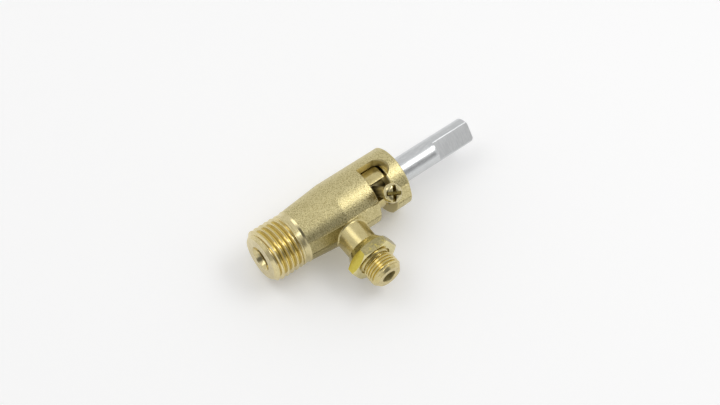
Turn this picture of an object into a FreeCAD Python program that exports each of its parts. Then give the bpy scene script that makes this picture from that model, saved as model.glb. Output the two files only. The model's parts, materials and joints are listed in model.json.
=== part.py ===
"""Gas stove valve: a forged brass taper-plug cock with a threaded inlet, a threaded side outlet
and a D-shaped steel spindle whose travel is limited by a stop screw in an open window.

Frame: origin at the centre of the inlet mouth, +X along the spindle, -Y along the outlet, +Z up.
The forging parts on the plane z = 0. All sizes are in millimetres and all angles in degrees.
An angle round the X axis is counted from -Y towards +Z.
"""
import FreeCAD
import Part
import math
import os

from FreeCAD import Vector

# Inlet thread, G1/4 size
INLET_THREAD_D = 13.157
INLET_ROOT_D = 11.445
INLET_PITCH = 1.337
INLET_ROOT_WIDTH = 0.22
INLET_FLANK_ANGLE = 27.5
INLET_FACE_D = 10.7
INLET_CHAMFER = 1.2
INLET_LAST_GROOVE = 6.4
INLET_THREAD_END = 7.5

# Inlet bore and its countersunk mouth
INLET_BORE_D = 4.8
INLET_MOUTH_D = 6.2
INLET_MOUTH_ANGLE = 30.0

# Turned neck between the thread and the rough forging, with a cone up to the forging
NECK_D = 12.84
NECK_END = 9.25

# Forged outside: a taper, then a round barrel that runs on as the head
TAPER_START = 9.8
TAPER_START_D = 13.28
TAPER_END = 20.3
BARREL_D = 15.36
HEAD_FRONT = 38.2
HEAD_EDGE = 0.35
DRAFT_ANGLE = 22.5
DRAFT_HALF_WIDTH = 14.5

# Side outlet, M8 x 0.75 size
OUTLET_X = 20.67
BOSS_D = 8.05
BOSS_END = 11.85
RELIEF_D = 7.7
RELIEF_WIDTH = 0.8
OUTLET_THREAD_D = 8.0
OUTLET_FACE_D = 6.1
OUTLET_CHAMFER = 1.15
OUTLET_REACH = 21.1
OUTLET_BORE_D = 3.44
UNDERCUT_D = 6.9
UNDERCUT_WIDTH = 1.5

# Taper seat and the wider bore in front of it
SEAT_START = 12.0
SEAT_SMALL_D = 7.0
SEAT_END = 26.6
SEAT_LARGE_D = 9.86
HEAD_BORE_D = 10.6

# Window and its notch, milled square across the head
WINDOW_REAR = 29.15
WINDOW_WIDTH = 4.7
WINDOW_FLOOR_Y = 2.6
NOTCH_D = 5.4
NOTCH_X = 33.0
NOTCH_DEPTH = 4.0

# Taper plug
RUN_GAP = 0.03
PLUG_END_GAP = 0.6
PLUG_HEAD_D = 9.8
PLUG_FRONT = 34.3
PLUG_GAS_BORE_D = 4.4
PLUG_PORT_D = 3.2
PLUG_WEB = 1.6
PLUG_SLOT_START = 27.6
PLUG_EDGE = 0.2

# Spring between the plug and the spindle
SPRING_POCKET_D = 4.2
SPRING_POCKET_DEPTH = 2.8
SPRING_D = 3.6
SPRING_WIRE_D = 0.45
SPRING_COILS = 4.5
SPRING_WIRE_SIDES = 6

# Spindle
SPINDLE_D = 6.4
JOURNAL_D = 6.0
SPINDLE_TIP = 60.5
SPINDLE_EDGE = 0.35
TANG_START = 29.5
TANG_END = 35.5
TANG_THICKNESS = 4.4
TANG_GAP = 0.05
FLAT_START = 50.1
FLAT_DEPTH = 1.055
FLAT_ANGLE = 42.5

# Stop screw, M2.5 pan head
SCREW_X = 31.3
SCREW_ANGLE = 47.5
SCREW_D = 2.5
SCREW_LENGTH = 12.0
SCREW_HEAD_SEAT = 11.2
SCREW_HEAD_D = 4.7
SCREW_HEAD_HEIGHT = 1.7
SCREW_HEAD_RIM = 0.55
RECESS_LENGTH = 2.7
RECESS_WIDTH = 0.7
RECESS_DEPTH = 1.0

# Guide bush pressed into the head
BUSH_LENGTH = 1.3
BUSH_INSET = 1.0
BUSH_EDGE = 0.2

# Lock nut on the outlet thread
NUT_FLATS = 11.0
NUT_THICKNESS = 4.25
NUT_REAR_FACE_D = 8.8
NUT_SHOULDER_D = 10.7
NUT_SHOULDER_LENGTH = 1.6
NUT_FRONT_FACE_D = 10.9
NUT_CHAMFER_ANGLE = 30.0
NUT_MOUTH_D = 8.9

# How far a cutting tool reaches past the metal
OVERRUN = 2.0
GROOVE_OVERRUN = 0.05

SLOT_WIDTH = TANG_THICKNESS + 2 * TANG_GAP
WINDOW_FRONT = WINDOW_REAR + WINDOW_WIDTH
NUT_FRONT = BOSS_END + NUT_THICKNESS
SEAT_SLOPE = (SEAT_LARGE_D - SEAT_SMALL_D) / 2 / (SEAT_END - SEAT_START)
OUTLET_AXIS_POINT = Vector(OUTLET_X, 0, 0)
X_AXIS = Vector(1, 0, 0)
OUTWARD_Y = Vector(0, -1, 0)


def turned(profile):
    """Solid of revolution about the X axis; the profile is a list of (x, radius) corners."""
    corners = [Vector(x, 0, radius) for x, radius in profile]
    outline = Part.makePolygon(corners + [corners[0]])
    return Part.Face(outline).revolve(Vector(0, 0, 0), X_AXIS, 360)


def turned_on_outlet(profile):
    """The same about the outlet axis; x counts from the main axis outwards along -Y."""
    solid = turned(profile)
    solid.rotate(Vector(0, 0, 0), Vector(0, 0, 1), -90)
    solid.translate(OUTLET_AXIS_POINT)
    return solid


def turned_in_place(solid, angle):
    """Turn a solid built facing -Y so that it faces the given angle round the X axis."""
    solid.rotate(Vector(0, 0, 0), X_AXIS, -angle)
    return solid


def inlet_grooves():
    """Ring cutters with the thread's pitch, depth and flanks, from the last groove to the mouth."""
    slope = math.tan(math.radians(INLET_FLANK_ANGLE))
    outer_r = INLET_THREAD_D / 2 + GROOVE_OVERRUN
    root_r = INLET_ROOT_D / 2
    half_root = INLET_ROOT_WIDTH / 2
    half_mouth = half_root + (outer_r - root_r) * slope
    cutters = []
    centre = INLET_LAST_GROOVE
    while centre > half_mouth:
        cutters.append(turned([
            (centre - half_mouth, outer_r),
            (centre - half_root, root_r),
            (centre + half_root, root_r),
            (centre + half_mouth, outer_r),
        ]))
        centre -= INLET_PITCH
    return cutters


def seat_radius(x):
    """Radius of the taper seat at x."""
    return SEAT_SMALL_D / 2 + (x - SEAT_START) * SEAT_SLOPE


def forged_blank():
    """The turned and forged outside along the main axis."""
    barrel_r = BARREL_D / 2
    return turned([
        (0, 0),
        (0, INLET_FACE_D / 2),
        (INLET_CHAMFER, INLET_THREAD_D / 2),
        (INLET_THREAD_END, INLET_THREAD_D / 2),
        (INLET_THREAD_END, NECK_D / 2),
        (NECK_END, NECK_D / 2),
        (TAPER_START, TAPER_START_D / 2),
        (TAPER_END, barrel_r),
        (HEAD_FRONT - HEAD_EDGE, barrel_r),
        (HEAD_FRONT, barrel_r - HEAD_EDGE),
        (HEAD_FRONT, 0),
    ])


def draft_cutters():
    """Wedges that leave the flat draft faces beside the parting line of the forging."""
    share = math.cos(math.radians(DRAFT_HALF_WIDTH))
    cutters = []
    for side in (0, 180):
        for lean in (DRAFT_ANGLE, -DRAFT_ANGLE):
            start = TAPER_START_D / 2 * share
            full = BARREL_D / 2 * share
            beyond = HEAD_FRONT + OVERRUN
            outline = Part.makePolygon([
                Vector(TAPER_START, -start, 0),
                Vector(TAPER_END, -full, 0),
                Vector(beyond, -full, 0),
                Vector(beyond, -full - OVERRUN, 0),
                Vector(TAPER_START, -full - OVERRUN, 0),
                Vector(TAPER_START, -start, 0),
            ])
            cutter = Part.Face(outline).extrude(Vector(0, 0, BARREL_D))
            cutter.translate(Vector(0, 0, -BARREL_D / 2))
            cutters.append(turned_in_place(cutter, side + lean))
    return cutters


def outlet_boss():
    """The side boss: relief, thread under the nut, undercut, free thread and end chamfer."""
    relief_end = BOSS_END + RELIEF_WIDTH
    thread_start = relief_end + (OUTLET_THREAD_D - RELIEF_D) / 2
    undercut_depth = (OUTLET_THREAD_D - UNDERCUT_D) / 2
    undercut_start = NUT_FRONT - (NUT_MOUTH_D - OUTLET_THREAD_D) / 2
    undercut_end = undercut_start + UNDERCUT_WIDTH
    return turned_on_outlet([
        (0, 0),
        (0, BOSS_D / 2),
        (BOSS_END, BOSS_D / 2),
        (BOSS_END, RELIEF_D / 2),
        (relief_end, RELIEF_D / 2),
        (thread_start, OUTLET_THREAD_D / 2),
        (undercut_start, OUTLET_THREAD_D / 2),
        (undercut_start + undercut_depth, UNDERCUT_D / 2),
        (undercut_end - undercut_depth, UNDERCUT_D / 2),
        (undercut_end, OUTLET_THREAD_D / 2),
        (OUTLET_REACH - OUTLET_CHAMFER, OUTLET_THREAD_D / 2),
        (OUTLET_REACH, OUTLET_FACE_D / 2),
        (OUTLET_REACH, 0),
    ])


def gas_ways():
    """Countersunk inlet bore, taper seat and head bore in one turned shape, and the outlet bore."""
    mouth_slope = math.tan(math.radians(INLET_MOUTH_ANGLE))
    mouth_depth = (INLET_MOUTH_D - INLET_BORE_D) / 2 / mouth_slope
    main = turned([
        (-OVERRUN, 0),
        (-OVERRUN, INLET_MOUTH_D / 2 + OVERRUN * mouth_slope),
        (mouth_depth, INLET_BORE_D / 2),
        (SEAT_START, INLET_BORE_D / 2),
        (SEAT_START, SEAT_SMALL_D / 2),
        (SEAT_END, SEAT_LARGE_D / 2),
        (SEAT_END, HEAD_BORE_D / 2),
        (HEAD_FRONT + OVERRUN, HEAD_BORE_D / 2),
        (HEAD_FRONT + OVERRUN, 0),
    ])
    side = Part.makeCylinder(OUTLET_BORE_D / 2, OUTLET_REACH + OVERRUN, OUTLET_AXIS_POINT, OUTWARD_Y)
    return [main, side]


def window_cutters():
    """The slot milled across the head and the end-mill notch at its top."""
    reach = BARREL_D
    slot = Part.makeBox(WINDOW_WIDTH, reach / 2 + OVERRUN + WINDOW_FLOOR_Y, reach + 2 * OVERRUN,
                        Vector(WINDOW_REAR, -reach / 2 - OVERRUN, -reach / 2 - OVERRUN))
    notch_radius = NOTCH_D / 2
    notch_foot = Vector(NOTCH_X, WINDOW_FLOOR_Y - notch_radius, BARREL_D / 2 - NOTCH_DEPTH)
    notch = Part.makeCylinder(notch_radius, NOTCH_DEPTH + OVERRUN, notch_foot)
    return [slot, notch]


def valve_body():
    """The forging with its boss, gas ways, window and notch."""
    body = forged_blank()
    for cutter in draft_cutters():
        body = body.cut(cutter)
    body = body.fuse(outlet_boss()).removeSplitter()
    for cutter in inlet_grooves() + gas_ways() + window_cutters():
        body = body.cut(cutter)
    return body


def taper_plug():
    """Hollow taper with a side port; its slotted head takes the spindle's tang."""
    start = SEAT_START + PLUG_END_GAP
    head_r = PLUG_HEAD_D / 2
    plug = turned([
        (start, 0),
        (start, seat_radius(start) - RUN_GAP),
        (SEAT_END, seat_radius(SEAT_END) - RUN_GAP),
        (SEAT_END, head_r),
        (PLUG_FRONT - PLUG_EDGE, head_r),
        (PLUG_FRONT, head_r - PLUG_EDGE),
        (PLUG_FRONT, 0),
    ])
    pocket_floor = PLUG_SLOT_START - SPRING_POCKET_DEPTH
    gas_bore_end = pocket_floor - PLUG_WEB
    bore = Part.makeCylinder(PLUG_GAS_BORE_D / 2, gas_bore_end, Vector(0, 0, 0), X_AXIS)
    port = Part.makeCylinder(PLUG_PORT_D / 2, BARREL_D / 2, OUTLET_AXIS_POINT, OUTWARD_Y)
    pocket = Part.makeCylinder(SPRING_POCKET_D / 2, PLUG_FRONT, Vector(pocket_floor, 0, 0), X_AXIS)
    slot = Part.makeBox(PLUG_FRONT, BARREL_D, SLOT_WIDTH,
                        Vector(PLUG_SLOT_START, -BARREL_D / 2, -SLOT_WIDTH / 2))
    for cutter in (bore, port, pocket, slot):
        plug = plug.cut(cutter)
    return turned_in_place(plug, SCREW_ANGLE)


def return_spring():
    """Open coil between the pocket floor and the end of the tang."""
    start = PLUG_SLOT_START - SPRING_POCKET_DEPTH + SPRING_WIRE_D / 2
    length = TANG_START - SPRING_WIRE_D / 2 - start
    coil_r = (SPRING_D - SPRING_WIRE_D) / 2
    helix = Part.makeHelix(length / SPRING_COILS, length, coil_r)
    corners = []
    for index in range(SPRING_WIRE_SIDES):
        angle = 2 * math.pi * index / SPRING_WIRE_SIDES
        across = SPRING_WIRE_D / 2 * math.cos(angle)
        along = SPRING_WIRE_D / 2 * math.sin(angle)
        corners.append(Vector(coil_r + across, 0, along))
    section = Part.makePolygon(corners + [corners[0]])
    coil = Part.Wire(helix.Edges).makePipeShell([section], True, True)
    coil.rotate(Vector(0, 0, 0), Vector(0, 1, 0), 90)
    coil.translate(Vector(start, 0, 0))
    return coil


def spindle():
    """Journal with a two-sided tang inside, and a thicker bar with a D flat for the knob."""
    radius = SPINDLE_D / 2
    bar = turned([
        (TANG_START, 0),
        (TANG_START, JOURNAL_D / 2),
        (HEAD_FRONT, JOURNAL_D / 2),
        (HEAD_FRONT, radius),
        (SPINDLE_TIP - SPINDLE_EDGE, radius),
        (SPINDLE_TIP, radius - SPINDLE_EDGE),
        (SPINDLE_TIP, 0),
    ])
    tang_length = TANG_END - TANG_START
    for side in (1, -1):
        cheek = Part.makeBox(tang_length + OVERRUN, SPINDLE_D, radius)
        foot = TANG_THICKNESS / 2 if side > 0 else -TANG_THICKNESS / 2 - radius
        cheek.translate(Vector(TANG_START - OVERRUN, -radius, foot))
        bar = bar.cut(turned_in_place(cheek, SCREW_ANGLE))
    flat = Part.makeBox(SPINDLE_TIP, SPINDLE_D, SPINDLE_D)
    flat.translate(Vector(FLAT_START, -radius + FLAT_DEPTH - SPINDLE_D, -radius))
    bar = bar.cut(turned_in_place(flat, FLAT_ANGLE))
    return bar.cut(screw_shank())


def screw_shank():
    """The screw's shank, which is also the tapped hole through the tang."""
    shank = Part.makeCylinder(SCREW_D / 2, SCREW_LENGTH,
                              Vector(SCREW_X, SCREW_LENGTH - SCREW_HEAD_SEAT, 0), OUTWARD_Y)
    return turned_in_place(shank, SCREW_ANGLE)


def screw_head():
    """Pan head: a straight rim, a rounded crown and a cross recess."""
    head_r = SCREW_HEAD_D / 2
    rise = SCREW_HEAD_HEIGHT - SCREW_HEAD_RIM
    crown_r = head_r - rise
    base = Part.makeCylinder(head_r, SCREW_HEAD_HEIGHT)
    top = [edge for edge in base.Edges
           if abs(edge.BoundBox.ZMin - SCREW_HEAD_HEIGHT) < 1e-6 and edge.BoundBox.XLength > crown_r]
    head = base.makeFillet(rise, top)
    for turn in (0, 90):
        arm = Part.makeBox(RECESS_LENGTH, RECESS_WIDTH, RECESS_DEPTH + OVERRUN)
        arm.translate(Vector(-RECESS_LENGTH / 2, -RECESS_WIDTH / 2, SCREW_HEAD_HEIGHT - RECESS_DEPTH))
        arm.rotate(Vector(0, 0, 0), Vector(0, 0, 1), turn)
        head = head.cut(arm)
    head.rotate(Vector(0, 0, 0), X_AXIS, 90)
    head.translate(Vector(SCREW_X, -SCREW_HEAD_SEAT, 0))
    return turned_in_place(head, SCREW_ANGLE)


def stop_screw():
    """The whole screw."""
    return screw_shank().fuse(screw_head()).removeSplitter()


def guide_bush():
    """Ring pressed into the head's bore, set back so that the pushed spindle clears it."""
    rear = HEAD_FRONT - BUSH_INSET - BUSH_LENGTH
    front = HEAD_FRONT - BUSH_INSET
    outer_r = HEAD_BORE_D / 2
    inner_r = JOURNAL_D / 2 + RUN_GAP
    return turned([
        (rear, inner_r),
        (rear, outer_r - BUSH_EDGE),
        (rear + BUSH_EDGE, outer_r),
        (front, outer_r),
        (front, inner_r + BUSH_EDGE),
        (front - BUSH_EDGE, inner_r),
    ])


def lock_nut():
    """Hexagon nut with a conical shoulder behind, chamfered corners and a wide mouth in front."""
    shoulder_r = NUT_SHOULDER_D / 2
    front_r = NUT_FRONT_FACE_D / 2
    corner_r = NUT_FLATS / 2 / math.cos(math.radians(30))
    rise = math.tan(math.radians(NUT_CHAMFER_ANGLE))
    shoulder = BOSS_END + NUT_SHOULDER_LENGTH
    bore_r = OUTLET_THREAD_D / 2
    mouth_r = NUT_MOUTH_D / 2
    envelope = turned_on_outlet([
        (BOSS_END, bore_r),
        (BOSS_END, NUT_REAR_FACE_D / 2),
        (shoulder, shoulder_r),
        (shoulder + (corner_r - shoulder_r) * rise, corner_r),
        (NUT_FRONT - (corner_r - front_r) * rise, corner_r),
        (NUT_FRONT, front_r),
        (NUT_FRONT, mouth_r),
        (NUT_FRONT - (mouth_r - bore_r), bore_r),
    ])
    corners = []
    for index in range(7):
        angle = math.radians(60 * index)
        corners.append(Vector(OUTLET_X + corner_r * math.cos(angle), 0, corner_r * math.sin(angle)))
    prism = Part.Face(Part.makePolygon(corners)).extrude(Vector(0, -NUT_FRONT - OVERRUN, 0))
    return envelope.common(prism)


PIECES = {
    "valve_body": valve_body,
    "taper_plug": taper_plug,
    "return_spring": return_spring,
    "spindle": spindle,
    "stop_screw": stop_screw,
    "guide_bush": guide_bush,
    "lock_nut": lock_nut,
}

os.makedirs("parts", exist_ok=True)
for name, build in PIECES.items():
    shape = build()
    shape.exportStep("parts/" + name + ".step")
    box = shape.BoundBox
    print(name, "solids", len(shape.Solids), "valid", shape.isValid(), "volume", round(shape.Volume, 2),
          "x", round(box.XMin, 2), round(box.XMax, 2))
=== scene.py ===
# %% [markdown]
# # A gas stove valve
# A gas cock lets gas to one burner of a stove. Its body is a brass forging with a thread at the
# inlet and at the outlet, a taper plug turns inside it, and a steel spindle carries the knob.
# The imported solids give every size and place. This lesson dresses them: cut threads, rounded
# edges, a forged skin and bright steel. Everything is in metres, in the frame of the solids:
# +X runs from the inlet to the spindle, -Y is the outlet, +Z is up.

# %% Load the frame
import json
import math

import bmesh
import bpy
import numpy as np
from mathutils import Matrix, Vector

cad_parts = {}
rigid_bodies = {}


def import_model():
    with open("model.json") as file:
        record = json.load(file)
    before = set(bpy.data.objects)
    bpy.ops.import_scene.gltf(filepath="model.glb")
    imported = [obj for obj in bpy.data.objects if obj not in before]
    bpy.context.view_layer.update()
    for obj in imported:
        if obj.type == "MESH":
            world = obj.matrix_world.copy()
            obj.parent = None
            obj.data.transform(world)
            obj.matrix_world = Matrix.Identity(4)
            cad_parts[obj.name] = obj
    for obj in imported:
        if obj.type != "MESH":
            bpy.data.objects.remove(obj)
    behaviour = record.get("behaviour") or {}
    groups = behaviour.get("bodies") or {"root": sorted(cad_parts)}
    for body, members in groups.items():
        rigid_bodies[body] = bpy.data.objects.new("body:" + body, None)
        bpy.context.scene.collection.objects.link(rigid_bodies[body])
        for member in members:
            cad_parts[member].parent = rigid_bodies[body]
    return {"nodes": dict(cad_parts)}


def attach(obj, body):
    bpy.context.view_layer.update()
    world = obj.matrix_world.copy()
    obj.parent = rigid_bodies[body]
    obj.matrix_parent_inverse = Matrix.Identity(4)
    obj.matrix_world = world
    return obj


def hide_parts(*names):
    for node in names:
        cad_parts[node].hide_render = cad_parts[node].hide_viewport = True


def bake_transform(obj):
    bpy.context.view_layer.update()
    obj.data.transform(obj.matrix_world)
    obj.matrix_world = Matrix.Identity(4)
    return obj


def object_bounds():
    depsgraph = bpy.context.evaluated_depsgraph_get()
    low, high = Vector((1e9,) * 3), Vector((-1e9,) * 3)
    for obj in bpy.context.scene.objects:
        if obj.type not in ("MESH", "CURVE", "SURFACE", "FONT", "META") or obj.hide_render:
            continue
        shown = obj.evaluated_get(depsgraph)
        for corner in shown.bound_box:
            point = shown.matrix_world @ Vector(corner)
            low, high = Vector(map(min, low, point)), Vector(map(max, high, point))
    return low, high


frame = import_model()
cad_low, cad_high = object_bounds()
print("solids:", sorted(frame["nodes"]))

# %% [markdown]
# ## Shared sizes
# A maker's drawing reads in millimetres, so the sizes do too, and they repeat the ones that the
# solids are built from. MM turns them into metres when a mesh is made. Only the sizes that
# several pieces share stand here; the others come with their piece.

# %% Shared sizes
MM = 0.001
SPIN = 192
OUTLET_X = 20.67
SCREW_ANGLE = 47.5
SEAT_END = 26.6
WINDOW_REAR = 29.15
WINDOW_FRONT = 33.85
WINDOW_FLOOR_Y = 2.6
print("outlet at x =", OUTLET_X, "mm, window from", WINDOW_REAR, "to", WINDOW_FRONT, "mm")

# %% [markdown]
# ## Camera
# The photograph was taken from above and from the inlet side, with a long lens. Its place was
# solved from the round faces of the valve, so the render can be laid over the photograph.

# %% Camera
camera_data = bpy.data.cameras.new("photo_camera")
camera_data.lens = 83.47
camera_data.sensor_width = 36.0
camera_data.clip_start = 0.01
camera_data.clip_end = 10.0
camera = bpy.data.objects.new("photo_camera", camera_data)
bpy.context.scene.collection.objects.link(camera)
CAMERA_SPOT = (-110.1, -158.1, 327.2)
right = Vector((0.7897, -0.6123, 0.0389)).normalized()
back = Vector((-0.3546, -0.4038, 0.8433)).normalized()
up = back.cross(right).normalized()
right = up.cross(back).normalized()
turn = Matrix((right, up, back)).transposed().to_4x4()
camera.matrix_world = Matrix.Translation(Vector(CAMERA_SPOT) * MM) @ turn
bpy.context.scene.camera = camera
print("camera distance:", round(camera.location.length, 3), "m")

# %% [markdown]
# ## Closed meshes
# A machined piece is one closed skin with crisp edges and smooth rounds. Blender can shade by
# angle with a modifier, but the export keeps plain meshes, so the sharp edges are marked in the
# mesh itself, after doubles are merged and small gaps filled.


# %% Closed meshes
SAME_POINT = 1e-7
NO_LENGTH = 1e-8


def finish_mesh(mesh, smooth_angle=30.0):
    """Merge doubles, close gaps, point the faces outwards and smooth all but the sharp edges."""
    work = bmesh.new()
    work.from_mesh(mesh)
    bmesh.ops.remove_doubles(work, verts=work.verts, dist=SAME_POINT)
    bmesh.ops.dissolve_degenerate(work, dist=NO_LENGTH, edges=work.edges)
    rim = [edge for edge in work.edges if edge.is_boundary]
    if rim:
        bmesh.ops.holes_fill(work, edges=rim, sides=0)
    bmesh.ops.recalc_face_normals(work, faces=work.faces)
    for face in work.faces:
        face.smooth = True
    limit = math.radians(smooth_angle)
    for edge in work.edges:
        edge.smooth = len(edge.link_faces) == 2 and edge.calc_face_angle(0.0) < limit
    work.to_mesh(mesh)
    work.free()


def add_object(name, mesh):
    obj = bpy.data.objects.new(name, mesh)
    bpy.context.scene.collection.objects.link(obj)
    return obj


def solid(name, verts, faces):
    """Object at the origin from points in metres and faces, cleaned and closed."""
    mesh = bpy.data.meshes.new(name)
    mesh.from_pydata(verts, [], faces)
    finish_mesh(mesh)
    return add_object(name, mesh)


def triangles(obj):
    obj.data.calc_loop_triangles()
    return len(obj.data.loop_triangles)


def open_edges(obj):
    """How many edges don't have two faces; 0 means a closed mesh."""
    work = bmesh.new()
    work.from_mesh(obj.data)
    count = sum(1 for edge in work.edges if len(edge.link_faces) != 2)
    work.free()
    return count


# %% [markdown]
# ## Turned shapes
# Nearly every piece of a valve comes off a lathe. A Screw modifier could sweep its profile, but
# it spreads its steps evenly and keeps each ring round. Building the piece as rings of points
# keeps the faces even, so reflections stay smooth, and lets a crease have angles of its own.


# %% Turned shapes
def profile_points(profile, step, ring):
    """The profile's corners, with the runs along the axis divided by step."""
    corners = list(profile) + ([profile[0]] if ring else [])
    points = [corners[0]]
    for (x0, r0), (x1, r1) in zip(corners, corners[1:]):
        length = math.hypot(x1 - x0, r1 - r0)
        parts = max(1, math.ceil(length / step)) if step and abs(x1 - x0) > 0.5 * length else 1
        for k in range(1, parts + 1):
            points.append((x0 + (x1 - x0) * k / parts, r0 + (r1 - r0) * k / parts))
    return points[:-1] if ring else points


def spin_angles(spin, extra):
    """Even angles round the axis. An even one gives way where an extra one lies close to it."""
    even = [a for a in np.arange(spin) * 360 / spin
            if all(abs((a - e + 180) % 360 - 180) > 180 / spin for e in extra)]
    return np.radians(np.sort(np.array(even + list(extra))))


def turned(name, profile, spin=SPIN, step=0.0, radius=None, extra=()):
    """Closed solid of revolution about X. The profile is (x, r) corners in mm from axis to axis,
    or a closed ring section when it doesn't touch the axis. Where radius is given, it bends
    each ring, and extra lists angles in degrees that a crease needs."""
    ring = profile[0][1] > 0 or profile[-1][1] > 0
    angles = spin_angles(spin, extra)
    count = len(angles)
    rows, verts, faces = [], [], []
    for x, r in profile_points(profile, step, ring):
        if r <= 0:
            rows.append([len(verts)] * count)
            verts.append((x * MM, 0.0, 0.0))
            continue
        rows.append(list(range(len(verts), len(verts) + count)))
        reach = np.full(count, r) if radius is None else radius(x, angles, r)
        for a, q in zip(angles, reach):
            verts.append((x * MM, -q * math.cos(a) * MM, q * math.sin(a) * MM))
    pairs = list(zip(rows, rows[1:])) + ([(rows[-1], rows[0])] if ring else [])
    for low, high in pairs:
        for j in range(count):
            k = (j + 1) % count
            quad = [low[j], low[k], high[k], high[j]]
            quad = [v for i, v in enumerate(quad) if v not in quad[:i]]
            if len(quad) > 2:
                faces.append(quad)
    return solid(name, verts, faces)


# %% [markdown]
# ## Placing and cutting
# A workshop cuts with tools, and so does this script: each tool is a solid, and an exact boolean
# takes it away. Boolean modifiers could stay live, but a finished piece is handed on as a plain
# mesh at the origin, so its points are moved and not its object.


# %% Place
def place(obj, matrix):
    """Move the points themselves, so the object stays at the origin."""
    obj.data.transform(matrix)
    return obj


def about_x(degrees):
    """Turn a shape that faces -Y so that it faces this angle, counted from -Y towards +Z."""
    return Matrix.Rotation(math.radians(-degrees), 4, "X")


def on_outlet():
    """Carry a shape from the X axis to the outlet axis, with +X turned to -Y."""
    return Matrix.Translation((OUTLET_X * MM, 0, 0)) @ Matrix.Rotation(math.radians(-90), 4, "Z")


def block(name, low, high):
    """Plain box between two corners in mm, used as a cutter."""
    work = bmesh.new()
    bmesh.ops.create_cube(work, size=1.0)
    for v in work.verts:
        v.co = Vector([(low[i] + (high[i] - low[i]) * (v.co[i] + 0.5)) * MM for i in range(3)])
    mesh = bpy.data.meshes.new(name)
    work.to_mesh(mesh)
    work.free()
    return add_object(name, mesh)


# %% Cut and finish
def apply_modifiers(obj):
    """Put the evaluated mesh in the object's place and drop its modifiers."""
    bpy.context.view_layer.update()
    graph = bpy.context.evaluated_depsgraph_get()
    mesh = bpy.data.meshes.new_from_object(obj.evaluated_get(graph))
    obj.modifiers.clear()
    old = obj.data
    obj.data = mesh
    bpy.data.meshes.remove(old)
    return obj


def combine(obj, tool, operation):
    """Exact boolean with another object, which is used up. Cut faces keep the tool's finish."""
    modifier = obj.modifiers.new("boolean", "BOOLEAN")
    modifier.operation = operation
    modifier.solver = "EXACT"
    modifier.material_mode = "TRANSFER"
    modifier.object = tool
    apply_modifiers(obj)
    mesh = tool.data
    bpy.data.objects.remove(tool)
    bpy.data.meshes.remove(mesh)
    return obj


def round_edges(obj, width, angle, smooth):
    """Break the edges sharper than angle by a small width in mm, as a maker's file does, and
    shade the piece smooth up to the angle smooth."""
    finish_mesh(obj.data, smooth)
    modifier = obj.modifiers.new("edges", "BEVEL")
    modifier.width = width * MM
    modifier.segments = 2
    modifier.limit_method = "ANGLE"
    modifier.angle_limit = math.radians(angle)
    modifier.use_clamp_overlap = True
    modifier.harden_normals = False
    apply_modifiers(obj)
    finish_mesh(obj.data, smooth)
    return obj


def finish(obj, *materials):
    """Give a shape its finishes before it is cut, so that each face remembers how it was made."""
    for material in materials:
        obj.data.materials.append(material)
    return obj


def refinish(obj, index, chosen):
    """Give the finish with this index to the faces whose centre in mm passes the test."""
    for face in obj.data.polygons:
        if chosen(face.center / MM):
            face.material_index = index


# %% [markdown]
# ## Finishes
# All metal here is bare, so each finish is one metallic shader. What differs is the skin: a
# forging is grainy and dull, a lathe leaves fine rings, a ground bar is bright with faint lines.
# A picture of metal would need unwrapped meshes and a size of its own. Noise in object
# coordinates needs neither, and drives colour, roughness and a small bump at the real scale.


# %% Node helpers
def node(tree, kind, **settings):
    made = tree.nodes.new(kind)
    for key, value in settings.items():
        setattr(made, key, value)
    return made


def maths(tree, operation, *values, clamp=False):
    """A Math node; numbers are typed in and sockets are linked. Returns its output."""
    made = node(tree, "ShaderNodeMath", operation=operation, use_clamp=clamp)
    for place_in, value in zip(made.inputs, values):
        if isinstance(value, (int, float)):
            place_in.default_value = value
        else:
            tree.links.new(value, place_in)
    return made.outputs[0]


def wire(tree, kind, inputs=(), **settings):
    """A node with its inputs given by name; sockets are linked and other values typed in."""
    made = node(tree, kind, **settings)
    for name, value in dict(inputs).items():
        if isinstance(value, bpy.types.NodeSocket):
            tree.links.new(value, made.inputs[name])
        else:
            made.inputs[name].default_value = value
    return made


# %% Metal
BLOTCH_SIZE = 2.6
SPECK_GROWTH = 1.7
FACE_FADE = 0.3


# Mask that places the painted reflection down in a thread's grooves.
def painted_reflection_share(tree, root, crest, plain, axis_x=None):
    """0 in a groove's root and 1 on its crest, or where the piece is nearer its face than plain.
    It reads the distance from the main axis, or from the outlet axis where axis_x is given."""
    spot = node(tree, "ShaderNodeSeparateXYZ")
    tree.links.new(node(tree, "ShaderNodeTexCoord").outputs["Object"], spot.inputs[0])
    side, along = spot.outputs[1], spot.outputs[0]
    if axis_x is not None:
        side, along = maths(tree, "SUBTRACT", spot.outputs[0], axis_x * MM), spot.outputs[1]
    squares = maths(tree, "ADD", maths(tree, "MULTIPLY", side, side),
                    maths(tree, "MULTIPLY", spot.outputs[2], spot.outputs[2]))
    rise = wire(tree, "ShaderNodeMapRange", {
        "Value": maths(tree, "SQRT", squares), "From Min": root * MM, "From Max": crest * MM})
    face = wire(tree, "ShaderNodeMapRange", {
        "Value": along, "From Min": plain * MM, "From Max": (plain + FACE_FADE) * MM,
        "To Min": 1.0, "To Max": 0.0})
    return maths(tree, "MAXIMUM", rise.outputs[0], face.outputs[0])


def blend_colour(tree, share, first, second):
    """Mix two colours, each a linear (r, g, b) or a socket, by share. Returns the output."""
    mix = wire(tree, "ShaderNodeMix", {"Factor": share}, data_type="RGBA")
    for place_in, colour in ((mix.inputs[6], first), (mix.inputs[7], second)):
        if isinstance(colour, bpy.types.NodeSocket):
            tree.links.new(colour, place_in)
        else:
            place_in.default_value = (*colour, 1)
    return mix.outputs[2]


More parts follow.
